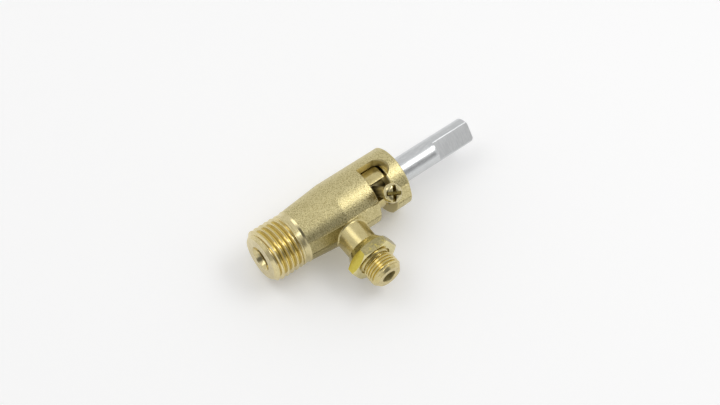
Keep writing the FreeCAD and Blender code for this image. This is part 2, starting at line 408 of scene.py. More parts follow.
def metal(name, dark, light, rough, grain, bump, stretch=(1, 1, 1), blotch=0.35, speck=None,
          painted_groove_reflection=None, detail=4.0):
    """Metallic finish. dark and light are linear colours, rough a (low, high) pair, grain the
    size of the grain in mm, bump its height in mm, detail how much finer grain it carries,
    stretch the way the marks run, blotch the share of broad stains in it, speck the colour of
    scattered spots, and the argument for a groove a painted reflection: a gold colour down in a
    thread's groove, with the sizes that find the groove."""
    material = bpy.data.materials.new(name)
    material.use_nodes = True
    tree = material.node_tree
    tree.nodes.clear()
    out = node(tree, "ShaderNodeOutputMaterial")
    shader = node(tree, "ShaderNodeBsdfPrincipled")
    shader.inputs["Metallic"].default_value = 1.0
    tree.links.new(shader.outputs[0], out.inputs[0])
    place_at = wire(tree, "ShaderNodeMapping", {
        "Vector": node(tree, "ShaderNodeTexCoord").outputs["Object"], "Scale": stretch})
    fine = wire(tree, "ShaderNodeTexNoise", {
        "Vector": place_at.outputs[0], "Scale": 1 / (grain * MM), "Detail": detail,
        "Roughness": 0.6})
    broad = wire(tree, "ShaderNodeTexNoise", {
        "Vector": node(tree, "ShaderNodeTexCoord").outputs["Object"],
        "Scale": 1 / (BLOTCH_SIZE * MM), "Detail": 3.0, "Roughness": 0.55})
    # Noise gathers round 0.5, so the ranges below spread its middle over the whole finish.
    share = maths(tree, "ADD", maths(tree, "MULTIPLY", fine.outputs[0], 1 - blotch),
                  maths(tree, "MULTIPLY", broad.outputs[0], blotch))
    spread = wire(tree, "ShaderNodeMapRange", {
        "Value": share, "From Min": 0.36, "From Max": 0.64})
    colour = blend_colour(tree, spread.outputs[0], dark, light)
    if speck:
        spots = wire(tree, "ShaderNodeTexNoise", {
            "Vector": place_at.outputs[0], "Scale": 1 / (grain * SPECK_GROWTH * MM),
            "Detail": 2.0})
        only = wire(tree, "ShaderNodeMapRange", {
            "Value": spots.outputs[0], "From Min": 0.60, "From Max": 0.72})
        colour = blend_colour(tree, only.outputs[0], colour, speck)
    if painted_groove_reflection:
        colour = blend_colour(tree, painted_reflection_share(tree, **painted_groove_reflection[1]), painted_groove_reflection[0], colour)
    tree.links.new(colour, shader.inputs["Base Color"])
    gloss = wire(tree, "ShaderNodeMapRange", {
        "Value": share, "From Min": 0.3, "From Max": 0.7, "To Min": rough[0], "To Max": rough[1]})
    tree.links.new(gloss.outputs[0], shader.inputs["Roughness"])
    relief = wire(tree, "ShaderNodeBump", {
        "Height": fine.outputs[0], "Distance": bump * MM, "Strength": 1.0})
    tree.links.new(relief.outputs[0], shader.inputs["Normal"])
    return material


# %% Finishes that several pieces share
bore_brass = metal("bore_brass", (0.70, 0.62, 0.34), (0.80, 0.72, 0.42), (0.42, 0.54),
                   grain=0.25, bump=0.004, stretch=(3, 0.4, 0.4))
plug_brass = metal("plug_brass", (0.50, 0.41, 0.18), (0.68, 0.58, 0.29), (0.15, 0.23),
                   grain=0.22, bump=0.003, stretch=(0.4, 1, 1))
print("shared finishes:", len(bpy.data.materials))

# %% [markdown]
# ## Forged body
# The body is forged between two dies and then machined. The dies leave a line along the side
# with flat draft faces beside it, and their grain stays on the barrel. Cutting the draft faces
# off a round barrel would leave hard edges. So the barrel is turned from a profile whose radius
# also depends on the angle, and the draft faces come with it, with a fine groove where each of
# them starts. The neck and the head's end are turned bright. The draft faces of the taper on the
# outlet side carry a painted shade, a darker brass that stands for the shade beside the boss.

# %% Finishes of the body
forged_brass = metal("forged_brass", (0.46, 0.39, 0.18), (0.72, 0.635, 0.345), (0.25, 0.36),
                     grain=0.27, bump=0.042, blotch=0.10, detail=1.0)
# Painted shade: the taper's draft faces on the outlet side get a darker brass for the shade beside
# the boss.
draft_brass = metal("draft_brass", (0.29, 0.245, 0.108), (0.51, 0.44, 0.22), (0.27, 0.38),
                    grain=0.27, bump=0.042, blotch=0.10, detail=1.0)
boss_brass = metal("boss_brass", (0.56, 0.47, 0.215), (0.68, 0.585, 0.30), (0.22, 0.30),
                   grain=0.45, bump=0.006, stretch=(0.6, 0.2, 0.6))
turned_brass = metal("turned_brass", (0.60, 0.51, 0.26), (0.76, 0.67, 0.39), (0.13, 0.22),
                     grain=0.30, bump=0.003, stretch=(3, 0.4, 0.4))
milled_brass = metal("milled_brass", (0.68, 0.60, 0.34), (0.80, 0.72, 0.44), (0.42, 0.54),
                     grain=0.25, bump=0.003, stretch=(0.4, 1, 1))
print("finishes so far:", len(bpy.data.materials))

# %% Sizes of the forging
BODY_SPIN = 256
BODY_START = 7.8
NECK_R = 6.42
NECK_END = 9.25
TAPER_START = 9.8
TAPER_START_R = 6.64
TAPER_END = 20.3
BARREL_R = 7.68
HEAD_END = 38.2
HEAD_FACE = 38.15
HEAD_ROUND = 0.45
DRAFT_NORMALS = (22.5, -22.5, 157.5, 202.5)
DRAFT_HALF = 14.5
DRAFT_BLEND = 0.0015
CREASES = [normal + side * DRAFT_HALF for normal in DRAFT_NORMALS for side in (-1, 1)]
CREASE_HALF = 1.5
CREASE_DEPTH = 0.13
print("draft faces meet the round barrel at", CREASES, "degrees")


# %% Radius of the forging at each angle
def soft_min(a, b, k):
    """The smaller of two values, with the corner between them rounded by k."""
    h = np.clip(0.5 + 0.5 * (b - a) / k, 0, 1)
    return b * (1 - h) + a * h - k * h * (1 - h)


def forged_radius(x, angles, r):
    """The barrel's radius at each angle; the neck and its cone stay round."""
    if x <= TAPER_START:
        return np.full(len(angles), float(r))
    share = np.ones(len(angles))
    for normal in DRAFT_NORMALS:
        off = np.cos(angles - math.radians(normal))
        flat = np.where(off > 0.5, math.cos(math.radians(DRAFT_HALF)) / np.maximum(off, 0.5), 9.0)
        share = soft_min(share, flat, DRAFT_BLEND)
    line = np.zeros(len(angles))
    for crease in CREASES:
        off = np.abs((np.degrees(angles) - crease + 180) % 360 - 180)
        line = np.maximum(line, np.clip(1 - off / CREASE_HALF, 0, 1))
    return r * np.minimum(share, 1.0) - CREASE_DEPTH * line


# %% Barrel with draft faces
head_round = [(HEAD_END - HEAD_ROUND + HEAD_ROUND * math.sin(t),
               BARREL_R - HEAD_ROUND + HEAD_ROUND * math.cos(t))
              for t in np.linspace(0, math.pi / 2, 6)]
crease_angles = [(crease + off) % 360
                 for crease in CREASES for off in (-CREASE_HALF, 0.0, CREASE_HALF)]
barrel = turned("body_forging", [
    (BODY_START, 0), (BODY_START, 6.41), (8.0, 6.41), (8.11, 6.50), (8.25, 6.50), (8.36, NECK_R),
    (NECK_END, NECK_R), (TAPER_START, TAPER_START_R), (9.84, 6.644), (20.2, 7.669),
    (TAPER_END, 7.677), (20.4, BARREL_R), *head_round, (HEAD_END, 5.9), (HEAD_END, 0)],
    spin=BODY_SPIN, step=0.35, radius=forged_radius, extra=crease_angles)
finish(barrel, forged_brass, turned_brass, draft_brass)


def is_turned(spot):
    return spot.x < TAPER_START or spot.x > HEAD_FACE


def is_draft_in_painted_shade(spot):
    steep = abs(math.degrees(math.atan2(spot.z, -spot.y)))
    return TAPER_START < spot.x < TAPER_END and steep < DRAFT_NORMALS[0] + DRAFT_HALF


refinish(barrel, 1, is_turned)
# The taper's draft faces on the outlet side take the painted shade.
refinish(barrel, 2, is_draft_in_painted_shade)
print("barrel:", triangles(barrel), "triangles")

# %% [markdown]
# ### Side boss
# The outlet boss grows out of the barrel, and the die leaves a small fillet between them. A
# bevel on the joint of two solids would wander where it crosses the draft faces. So the boss is
# made of rings that follow the barrel's skin at its foot and become flat circles further out.


# %% Boss with a fillet that follows the barrel
BOSS_R = 4.025
BOSS_FILLET = 0.32
BOSS_ROOT_Y = 3.0
STUD_R = 3.97
STUD_END_R = 3.45
STUD_END_Y = 16.9


def barrel_height(x, z):
    """Distance from the main axis to the barrel's skin on the outlet side."""
    r = float(np.interp(x, [NECK_END, TAPER_START, TAPER_END, HEAD_END],
                        [NECK_R, TAPER_START_R, BARREL_R, BARREL_R]))
    angle = math.asin(max(-1, min(1, z / r)))
    for _ in range(4):
        reach = float(forged_radius(x, np.array([angle]), r)[0])
        angle = math.asin(max(-1, min(1, z / reach)))
    return reach * math.cos(angle)


def boss_rings():
    """(follows the skin, radius, height) of each ring, from the foot to the free end."""
    foot_r = BOSS_R + BOSS_FILLET
    rings = [(True, foot_r + 0.06, -0.15), (True, foot_r + 0.03, -0.03)]
    for t in np.linspace(0, math.pi / 2, 8):
        rings.append((True, foot_r - BOSS_FILLET * math.sin(t), BOSS_FILLET * (1 - math.cos(t))))
    rings += [(False, BOSS_R, y) for y in (8.6, 9.4, 10.2, 11.0, 11.6, 11.80)]
    rings += [(False, STUD_R, y) for y in (11.95, 15.6)]
    return rings + [(False, STUD_END_R, y) for y in (16.15, STUD_END_Y)]


def boss_with_fillet(name, spin=160):
    rings = boss_rings()
    verts, faces = [(OUTLET_X * MM, -BOSS_ROOT_Y * MM, 0.0)], []
    for follows, r, y in rings:
        for j in range(spin):
            a = 2 * math.pi * j / spin
            x, z = OUTLET_X + r * math.cos(a), r * math.sin(a)
            height = barrel_height(x, z) + y if follows else y
            verts.append((x * MM, -height * MM, z * MM))
    verts.append((OUTLET_X * MM, -STUD_END_Y * MM, 0.0))
    for i in range(len(rings) - 1):
        low, high = 1 + i * spin, 1 + (i + 1) * spin
        for j in range(spin):
            k = (j + 1) % spin
            faces.append((low + j, low + k, high + k, high + j))
    last = 1 + (len(rings) - 1) * spin
    for j in range(spin):
        k = (j + 1) % spin
        faces.append((0, 1 + j, 1 + k))
        faces.append((len(verts) - 1, last + j, last + k))
    return solid(name, verts, faces)


body = combine(barrel, finish(boss_with_fillet("boss"), boss_brass), "UNION")
print("barrel and boss:", triangles(body), "triangles")

# %% [markdown]
# ### Machining
# The bores, the window and its notch are cut with the same tools as in the workshop: a stepped
# borer, a side mill and an end mill. One complex cutter would do it in one step, but simple
# tools one after the other are easier to read, and each leaves its own finish.

# %% Bores
GAS_BORE_R = 2.4
SEAT_START = 12.0
HEAD_BORE_R = 5.3
OUTLET_BORE_R = 1.72
stepped_bore = turned("stepped_bore", [
    (7.0, 0), (7.0, GAS_BORE_R), (SEAT_START, GAS_BORE_R), (SEAT_START, 3.5), (SEAT_END, 4.93),
    (SEAT_END, HEAD_BORE_R), (38.0, HEAD_BORE_R), (38.6, 5.9), (38.6, 0)], spin=160)
combine(body, finish(stepped_bore, bore_brass), "DIFFERENCE")
outlet_bore = turned("outlet_bore", [
    (1.0, 0), (1.0, OUTLET_BORE_R), (18.0, OUTLET_BORE_R), (18.0, 0)], spin=96)
combine(body, finish(place(outlet_bore, on_outlet()), bore_brass), "DIFFERENCE")
print("bored body:", triangles(body), "triangles")

# %% Window with broken rims
RIM = 0.22
MILL_REACH = 10
side_mill = block("side_mill", (WINDOW_REAR, -MILL_REACH, -MILL_REACH),
                  (WINDOW_FRONT, WINDOW_FLOOR_Y, MILL_REACH))
combine(body, finish(side_mill, milled_brass), "DIFFERENCE")
for edge_x, side in ((WINDOW_REAR, -1), (WINDOW_FRONT, 1)):
    rim = turned("rim_cutter", [
        (edge_x + side * (RIM + 0.3), BARREL_R + 0.3), (edge_x - side * 0.5, BARREL_R + 0.3),
        (edge_x - side * 0.5, BARREL_R - RIM - 0.5)], spin=BODY_SPIN)
    reach = block("rim_reach", (WINDOW_REAR - 2, -MILL_REACH, -MILL_REACH),
                  (WINDOW_FRONT + 2, WINDOW_FLOOR_Y, MILL_REACH))
    combine(finish(rim, milled_brass), finish(reach, milled_brass), "INTERSECT")
    combine(body, rim, "DIFFERENCE")
print("window cut:", triangles(body), "triangles")

# %% Notch and edges
NOTCH_X = 33.0
NOTCH_R = 2.7
NOTCH_FLOOR_Z = 3.68
end_mill = turned("end_mill", [
    (NOTCH_FLOOR_Z, 0), (NOTCH_FLOOR_Z, NOTCH_R), (7.15, NOTCH_R), (7.75, 3.0), (10, 3.0),
    (10, 0)], spin=128)
upright = Matrix.Rotation(math.radians(-90), 4, "Y")
place(end_mill, Matrix.Translation(Vector((NOTCH_X, WINDOW_FLOOR_Y - NOTCH_R, 0)) * MM) @ upright)
combine(body, finish(end_mill, milled_brass), "DIFFERENCE")
round_edges(body, 0.07, angle=40, smooth=17)
print("body:", triangles(body), "triangles,", open_edges(body), "open edges")

# %% [markdown]
# ## Thread tree
# A thread follows one rule: a groove that climbs by one pitch in each turn. Rings are simpler
# but don't climb, and a straight grid gives ragged crests. So a Geometry Nodes tree takes a flat
# grid and wraps it round the axis as a long strip, one pitch wide, with its rows along the crest
# and the root. The chamfer at the free end trims the crests.


# %% Inputs of a tree
def new_tree(name, sizes):
    """A Geometry Nodes tree with an input for each size, in metres where it is a length. A
    whole number makes a whole-number input."""
    tree = bpy.data.node_groups.new(name, "GeometryNodeTree")
    tree.is_modifier = True
    for title, value in sizes:
        kind = "NodeSocketInt" if isinstance(value, int) else "NodeSocketFloat"
        item = tree.interface.new_socket(title, in_out="INPUT", socket_type=kind)
        item.default_value = value
    tree.interface.new_socket("Material", in_out="INPUT", socket_type="NodeSocketMaterial")
    tree.interface.new_socket("Geometry", in_out="OUTPUT", socket_type="NodeSocketGeometry")
    return tree


def end_tree(tree, geometry, material):
    """Each tree ends in Realize Instances and Set Material."""
    real = node(tree, "GeometryNodeRealizeInstances")
    dress = node(tree, "GeometryNodeSetMaterial")
    tree.links.new(geometry, real.inputs[0])
    tree.links.new(real.outputs[0], dress.inputs["Geometry"])
    tree.links.new(material, dress.inputs["Material"])
    tree.links.new(dress.outputs[0], node(tree, "NodeGroupOutput").inputs[0])


thread_tree = new_tree("helical_thread", (
    ("Crest radius", 0.006), ("Root radius", 0.005), ("Pitch", 0.001), ("Start", 0.0),
    ("End", 0.01), ("Face radius", 0.004), ("Chamfer length", 0.001), ("Neck radius", 0.006),
    ("Run-out", 0.001), ("Phase", 0.0), ("Segments", SPIN)))
given = node(thread_tree, "NodeGroupInput").outputs


def calc(operation, *values, clamp=False):
    return maths(thread_tree, operation, *values, clamp=clamp)


print("thread tree inputs:", [item.name for item in given if item.name])

# %% Strip, one pitch wide
ROWS = 12
SPARE_TURNS = 2.0
length = calc("SUBTRACT", given["End"], given["Start"])
turns = calc("ADD", calc("CEIL", calc("DIVIDE", length, given["Pitch"])), SPARE_TURNS)
columns = calc("ADD", calc("MULTIPLY", turns, given["Segments"]), 1.0)
strip = wire(thread_tree, "GeometryNodeMeshGrid", {
    "Size X": 1.0, "Size Y": 1.0, "Vertices Y": ROWS + 1, "Vertices X": columns})
where = node(thread_tree, "ShaderNodeSeparateXYZ")
thread_tree.links.new(node(thread_tree, "GeometryNodeInputPosition").outputs[0], where.inputs[0])
turn_count = calc("MULTIPLY", calc("ADD", where.outputs[0], 0.5), turns)
across = calc("ADD", where.outputs[1], 0.5)
swing = calc("MULTIPLY", turn_count, 2 * math.pi)
climb = calc("SUBTRACT", calc("ADD", turn_count, across), calc("ADD", given["Phase"], 1.0))
free_x = calc("ADD", given["Start"], calc("MULTIPLY", climb, given["Pitch"]))
along = calc("MAXIMUM", calc("MINIMUM", free_x, given["End"]), given["Start"])
print("strip:", ROWS, "rows")

# %% Crest, flanks, run-out and chamfer
CREST_FLAT = 0.20
FLANK = 0.64
from_crest = calc("ABSOLUTE", calc("SUBTRACT", calc("MULTIPLY", across, 2.0), 1.0))
slope = calc("DIVIDE", calc("SUBTRACT", from_crest, CREST_FLAT), FLANK, clamp=True)
depth = calc("SUBTRACT", given["Crest radius"], given["Root radius"])
cut = calc("SUBTRACT", given["Crest radius"], calc("MULTIPLY", depth, slope))
to_end = calc("DIVIDE", calc("SUBTRACT", given["End"], along), given["Run-out"], clamp=True)
ease = calc("SMOOTH_MIN", to_end, 1.0, 0.2)
above_neck = calc("MULTIPLY", calc("SUBTRACT", cut, given["Neck radius"]), ease)
with_runout = calc("ADD", given["Neck radius"], above_neck)
rise = calc("DIVIDE", calc("SUBTRACT", along, given["Start"]), given["Chamfer length"])
face_to_crest = calc("SUBTRACT", given["Crest radius"], given["Face radius"])
cone = calc("ADD", given["Face radius"], calc("MULTIPLY", rise, face_to_crest))
radius_out = calc("MINIMUM", with_runout, cone)
print("crest", CREST_FLAT, "and flanks", FLANK, "of half a pitch")

# %% Wrap the strip round the axis
spot = wire(thread_tree, "ShaderNodeCombineXYZ", {
    "X": along, "Y": calc("MULTIPLY", radius_out, calc("COSINE", swing)),
    "Z": calc("MULTIPLY", radius_out, calc("SINE", swing))})
wrap = wire(thread_tree, "GeometryNodeSetPosition", {
    "Geometry": strip.outputs["Mesh"], "Position": spot.outputs[0]})
weld = wire(thread_tree, "GeometryNodeMergeByDistance", {
    "Geometry": wrap.outputs[0], "Distance": 2e-6})
end_tree(thread_tree, weld.outputs[0], given["Material"])
print("thread tree:", len(thread_tree.nodes), "nodes")


# %% Run a tree with named inputs
def grow(name, tree, **sizes):
    """Runs a Geometry Nodes tree with the given inputs and keeps the result as a plain mesh."""
    obj = add_object(name, bpy.data.meshes.new(name))
    modifier = obj.modifiers.new("tree", "NODES")
    modifier.node_group = tree
    for item in tree.interface.items_tree:
        key = item.name.replace(" ", "_").replace("-", "_").lower()
        if item.item_type == "SOCKET" and item.in_out == "INPUT" and key in sizes:
            modifier[item.identifier] = sizes[key]
    apply_modifiers(obj)
    if obj.data.materials[0] is None:
        obj.data.materials.pop(index=0)
    return obj


# %% [markdown]
# ## Inlet and outlet threads
# Both ends carry a male thread that was rolled or cut on the lathe: a coarse pipe thread at the
# inlet and a fine one at the outlet. Cutting a helix with booleans is slow and leaves splinters.
# Each thread is a sleeve from the tree, closed with its end faces and its own piece of bore. Its
# grooves carry a painted reflection, a deeper gold than the crests that stands for the light the
# brass flanks throw into each other.

# %% Finishes of the threads
# Painted reflection: the grooves get a deeper gold than the crests, standing for the light the brass
# flanks throw into each other.
PAINTED_GROOVE_GOLD = (0.72, 0.58, 0.19)
inlet_brass = metal("inlet_brass", (0.62, 0.52, 0.26), (0.80, 0.70, 0.41), (0.10, 0.20),
                    grain=0.30, bump=0.004, stretch=(3, 0.4, 0.4),
                    painted_groove_reflection=(PAINTED_GROOVE_GOLD, dict(root=5.74, crest=6.12, plain=1.2)))
outlet_brass = metal("outlet_brass", (0.56, 0.46, 0.21), (0.74, 0.64, 0.34), (0.11, 0.20),
                     grain=0.30, bump=0.003, stretch=(0.4, 3, 0.4),
                     painted_groove_reflection=(PAINTED_GROOVE_GOLD, dict(root=3.50, crest=3.80, plain=-20.0, axis_x=OUTLET_X)))
# Painted shade: the inlet's bore beyond its mouth is a near-black brown that stands for the shade
# deep inside.
deep_bore = metal("deep_bore", (0.16, 0.12, 0.04), (0.26, 0.20, 0.08), (0.30, 0.40),
                  grain=0.25, bump=0.004)
print("finishes so far:", len(bpy.data.materials))


# %% Close a sleeve
def close_inside(obj, stations):
    """Closes a threaded sleeve with its end faces and a bore given as (x, r) stations in mm."""
    work = bmesh.new()
    work.from_mesh(obj.data)
    bmesh.ops.dissolve_degenerate(work, dist=NO_LENGTH, edges=work.edges)
    rims = {}
    for edge in work.edges:
        if len(edge.link_faces) == 1:
            rims.setdefault(round(edge.verts[0].co.x / MM, 3), []).append(edge)
    current, last = rims[min(rims)], rims[max(rims)]
    for x, r in stations:
        made = bmesh.ops.extrude_edge_only(work, edges=current)["geom"]
        for v in (g for g in made if isinstance(g, bmesh.types.BMVert)):
            reach = math.hypot(v.co.y, v.co.z)
            v.co = Vector((x * MM, v.co.y / reach * r * MM, v.co.z / reach * r * MM))
        current = [g for g in made if isinstance(g, bmesh.types.BMEdge)
                   and all(abs(v.co.x - x * MM) < 1e-9 for v in g.verts)
                   and len(g.link_faces) == 1]
    bmesh.ops.bridge_loops(work, edges=current + last)
    work.to_mesh(obj.data)
    work.free()
    finish_mesh(obj.data, 35.0)
    print(obj.name, triangles(obj), "triangles,", open_edges(obj), "open edges")
    return obj


# %% Inlet thread
INLET_LENGTH = 8.0
INLET_MOUTH = 1.21
inlet = grow("inlet_thread", thread_tree, crest_radius=6.57 * MM, root_radius=5.72 * MM,
             pitch=1.337 * MM, start=0.0, end=INLET_LENGTH * MM, face_radius=5.35 * MM,
             chamfer_length=1.2 * MM, neck_radius=NECK_R * MM, run_out=0.8 * MM, phase=0.55,
             segments=SPIN, material=inlet_brass)
close_inside(inlet, [(0.0, 3.1), (INLET_MOUTH, GAS_BORE_R), (INLET_LENGTH, GAS_BORE_R)])
# The bore beyond the mouth takes the painted shade.
finish(inlet, deep_bore)
refinish(inlet, 1, lambda spot: spot.x > INLET_MOUTH and spot.yz.length < GAS_BORE_R + 0.1)

# %% Outlet thread
OUTLET_LENGTH = 4.40
OUTLET_MOUTH = 0.12
OUTLET_FACE_Y = -21.1
outlet = grow("outlet_thread", thread_tree, crest_radius=3.99 * MM, root_radius=3.54 * MM,
              pitch=0.75 * MM, start=0.0, end=OUTLET_LENGTH * MM, face_radius=3.05 * MM,
              chamfer_length=1.15 * MM, neck_radius=STUD_END_R * MM, run_out=0.35 * MM,
              phase=0.2, segments=SPIN, material=outlet_brass)
close_inside(outlet, [(0.0, 1.84), (OUTLET_MOUTH, OUTLET_BORE_R), (OUTLET_LENGTH, OUTLET_BORE_R)])
finish(outlet, bore_brass)
refinish(outlet, 1, lambda spot: spot.x > OUTLET_MOUTH and spot.yz.length < OUTLET_BORE_R + 0.08)
inwards = Matrix.Rotation(math.radians(90), 4, "Z")
place(outlet, Matrix.Translation(Vector((OUTLET_X, OUTLET_FACE_Y, 0)) * MM) @ inwards)

for piece in (body, inlet, outlet):
    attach(piece, "body")
    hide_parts("valve_body")

# %% [markdown]
# ## Lock nut
# A nut is a turned blank whose six flats are milled. Bevelling a plain hexagon would give
# straight corners. The blank carries the conical shoulder and the chamfers, so meeting it with
# a prism gives the curved corner lines of a real nut. One of its flats is painted yellow, a
# painted reflection of the brass body beside it.

# %% Finishes of the nut
nut_flats = metal("nut_flats", (0.26, 0.225, 0.10), (0.52, 0.45, 0.22), (0.28, 0.40),
                  grain=0.50, bump=0.010, blotch=0.4, speck=(0.66, 0.55, 0.13))
# Painted reflection: the flat that faces the inlet gets a strong yellow that stands for the brass
# body mirrored in it.
nut_stained = metal("nut_stained", (0.60, 0.49, 0.075), (0.74, 0.62, 0.13), (0.28, 0.40),
                    grain=0.50, bump=0.010, blotch=0.4)
nut_turned = metal("nut_turned", (0.66, 0.58, 0.28), (0.80, 0.72, 0.40), (0.13, 0.21),
                   grain=0.30, bump=0.003, stretch=(0.4, 3, 0.4))
print("finishes so far:", len(bpy.data.materials))


# %% Lock nut
def prism(name, first, second):
    """Solid between two outlines in mm that have as many corners each."""
    count = len(first)
    verts = [(x * MM, y * MM, z * MM) for x, y, z in (*first, *second)]
    faces = [tuple(range(count)), tuple(reversed(range(count, 2 * count)))]
    for i in range(count):
        k = (i + 1) % count
        faces.append((i, count + i, count + k, k))
    return solid(name, verts, faces)


NUT_REAR = 11.85
NUT_FRONT = 16.10
NUT_CORNER_R = 6.351
PAINTED_REFLECTION_X = OUTLET_X - 4
blank = turned("lock_nut_dressed", [
    (NUT_REAR, 4.00), (NUT_REAR, 4.40), (13.45, 5.35), (14.03, NUT_CORNER_R),
    (15.58, NUT_CORNER_R), (NUT_FRONT, 5.45), (NUT_FRONT, 4.15), (NUT_FRONT - 0.15, 4.00)])
finish(place(blank, on_outlet()), nut_turned)
corners = [(NUT_CORNER_R * math.cos(math.radians(60 * i)),
            NUT_CORNER_R * math.sin(math.radians(60 * i))) for i in range(6)]
hexagon = prism("hexagon", *[[(OUTLET_X + x, y, z) for x, z in corners] for y in (-11, -18)])
finish(hexagon, nut_flats, nut_stained)
# The flat that faces the inlet and up takes the painted reflection.
refinish(hexagon, 1, lambda spot: spot.x < PAINTED_REFLECTION_X and spot.z > 0)
nut = combine(blank, hexagon, "INTERSECT")
round_edges(nut, 0.08, angle=20, smooth=25)
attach(nut, "body")
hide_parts("lock_nut")
print("lock nut:", triangles(nut), "triangles")

# %% [markdown]
# ## Spindle
# The spindle is a ground steel bar. Inside the valve it has a tang with two flats that slips
# into the plug, and outside one long flat for the knob. The flats could be pushed into the
# rings of the bar, but boxes cut them as crisp as a mill does. Two more boxes break the flat's
# long edges, which catch the light as a thin line.

# %% Finishes of the spindle
ground_steel = metal("ground_steel", (0.58, 0.595, 0.60), (0.68, 0.69, 0.695), (0.21, 0.29),
                     grain=0.30, bump=0.002, stretch=(0.15, 1, 1))
milled_steel = metal("milled_steel", (0.53, 0.54, 0.545), (0.68, 0.685, 0.685), (0.46, 0.56),
                     grain=0.30, bump=0.004, stretch=(3, 0.15, 0.15), blotch=0.15)
greased_steel = metal("greased_steel", (0.62, 0.55, 0.32), (0.74, 0.67, 0.42), (0.40, 0.50),
                      grain=0.30, bump=0.004)
# Painted shade: the tang and the journal inside the head are a dark brown that stands for the shade
# in the plug's slot and the head's bore.
tang_steel = metal("tang_steel", (0.20, 0.17, 0.10), (0.34, 0.30, 0.18), (0.30, 0.40),
                   grain=0.30, bump=0.004)
print("finishes so far:", len(bpy.data.materials))

# %% Spindle
TANG_START = 29.5
TANG_END = 35.5
TANG_HALF = 2.2
JOURNAL_R = 3.0
SPINDLE_R = 3.2
SPINDLE_TIP = 60.5
TIP_EDGE = 0.35
bar = turned("spindle_dressed", [
    (TANG_START, 0), (TANG_START, JOURNAL_R), (HEAD_END, JOURNAL_R), (HEAD_END, SPINDLE_R),
    (SPINDLE_TIP - TIP_EDGE, SPINDLE_R), (SPINDLE_TIP, SPINDLE_R - TIP_EDGE), (SPINDLE_TIP, 0)],
    step=1.0)
finish(bar, ground_steel, tang_steel, greased_steel)
refinish(bar, 2, lambda spot: spot.x < 37.5)
# The tang and the journal inside the head take the painted shade.
refinish(bar, 1, lambda spot: spot.x < 34.0)
for low_z, high_z in ((TANG_HALF, 5), (-5, -TANG_HALF)):
    cheek = block("cheek", (29, -4, low_z), (TANG_END, 4, high_z))
    combine(bar, finish(place(cheek, about_x(SCREW_ANGLE)), tang_steel), "DIFFERENCE")
print("bar with tang:", triangles(bar), "triangles")

# %% Flat for the knob
FLAT_START = 50.1
FLAT_ANGLE = 42.5
FLAT_HEIGHT = 2.145
EDGE_LEAN = 23.95
EDGE_HEIGHT = 2.876
for lean, height, skin in ((0, FLAT_HEIGHT, milled_steel), (-EDGE_LEAN, EDGE_HEIGHT, ground_steel),
                           (EDGE_LEAN, EDGE_HEIGHT, ground_steel)):
    mill = block("knob_flat", (FLAT_START, -6, -5), (62, -height, 5))
    combine(bar, finish(place(mill, about_x(FLAT_ANGLE + lean)), skin), "DIFFERENCE")
round_edges(bar, 0.12, angle=25, smooth=25)
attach(bar, "control")
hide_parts("spindle")
print("spindle:", triangles(bar), "triangles")

# %% [markdown]
# ## Stop screw
# A small pan-head screw stands out of the window. It couples spindle and plug, and moves along
# the window with them. Its thread is hidden in the tang, so the shank is plain. The head is
# turned with a domed crown, and two narrowing wedges cut the cross, as the punch would press it.

# %% Finishes of the screw
screw_plating = metal("screw_plating", (0.52, 0.44, 0.22), (0.72, 0.64, 0.38), (0.08, 0.18),
                      grain=0.30, bump=0.003)
shank_plating = metal("shank_plating", (0.58, 0.50, 0.26), (0.74, 0.66, 0.38), (0.34, 0.44),
                      grain=0.30, bump=0.004)
# Painted shade: the cross recess is a dark brown that stands for the shade down in it.
screw_recess = metal("screw_recess", (0.17, 0.125, 0.035), (0.46, 0.365, 0.11), (0.20, 0.35),
                     grain=0.30, bump=0.003)
print("finishes so far:", len(bpy.data.materials))

# %% Screw with a domed head
SCREW_X = 31.3
SHANK_R = 1.245
HEAD_SEAT = 11.2
SCREW_HEAD_R = 2.35
RIM_HEIGHT = 0.55
DOME = 1.15
crown = [(HEAD_SEAT + (RIM_HEIGHT + DOME * math.sin(t)), SCREW_HEAD_R - DOME + DOME * math.cos(t))
         for t in np.linspace(0, math.pi / 2, 10)]
screw = turned("stop_screw_dressed", [
    (-0.8, 0), (-0.8, 1.0), (-0.55, SHANK_R), (HEAD_SEAT, SHANK_R), (HEAD_SEAT, SCREW_HEAD_R - 0.1),
    (HEAD_SEAT + 0.08, SCREW_HEAD_R), *crown, (12.9, 0)], spin=128, step=1.0)
finish(screw, screw_plating, shank_plating)
refinish(screw, 1, lambda spot: spot.x < HEAD_SEAT - 0.01)
print("screw blank:", triangles(screw), "triangles")

# %% Cross recess
CROSS_ANGLES = (65, 155)
CROSS_TOP = (13.2, 2.45, 0.50)
CROSS_FLOOR = (11.75, 1.10, 0.32)
for angle in CROSS_ANGLES:
    outlines = [[(x, s * long, c * wide) for s, c in ((-1, -1), (1, -1), (1, 1), (-1, 1))]
                for x, long, wide in (CROSS_TOP, CROSS_FLOOR)]
    wing = place(prism("wing", *outlines), Matrix.Rotation(math.radians(angle), 4, "X"))
    # The cut faces of the cross take the painted shade.
    combine(screw, finish(wing, screw_recess), "DIFFERENCE")
round_edges(screw, 0.06, angle=35, smooth=30)
outwards = Matrix.Rotation(math.radians(-90), 4, "Z")
place(screw, about_x(SCREW_ANGLE) @ Matrix.Translation((SCREW_X * MM, 0, 0)) @ outwards)
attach(screw, "control")
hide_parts("stop_screw")
print("stop screw:", triangles(screw), "triangles")

# %% [markdown]
# ## Taper plug
# The plug is the heart of the valve. Its taper seals in the body, and its slotted head shows in
# the window as a fork. The fork could be made alone, as nothing else of the plug is seen, but
# then the moving valve would be empty. So the whole plug is turned, and bore, pocket, port and
# slot are cut.

